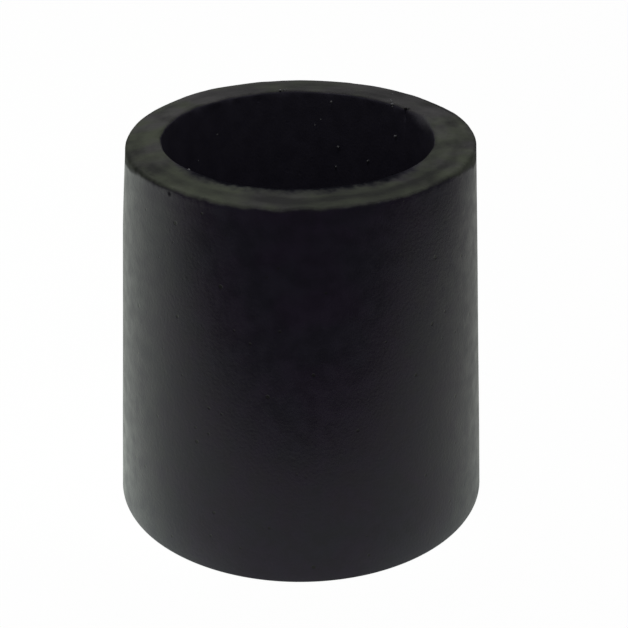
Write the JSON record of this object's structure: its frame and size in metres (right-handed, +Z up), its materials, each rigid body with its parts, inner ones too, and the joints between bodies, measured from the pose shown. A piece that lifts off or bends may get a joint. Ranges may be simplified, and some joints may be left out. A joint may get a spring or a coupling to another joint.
{
  "type": "rubber cane tip",
  "caption": "Tapered round rubber foot with a blind socket for a walking cane's shaft and concentric tread rings underneath.",
  "frame": {"origin": "centre of the tread's ground plane", "axes": "+Z up along the socket's axis, towards its mouth; the part is round about Z"},
  "size_m": [0.0276, 0.0276, 0.028],
  "materials": {
    "black_rubber": "matte moulded rubber, with a trimmed mouth that is a little greyer than the sides"
  },
  "bodies": {
    "root": {"rubber_tip": "black_rubber"}
  },
  "joints": []
}
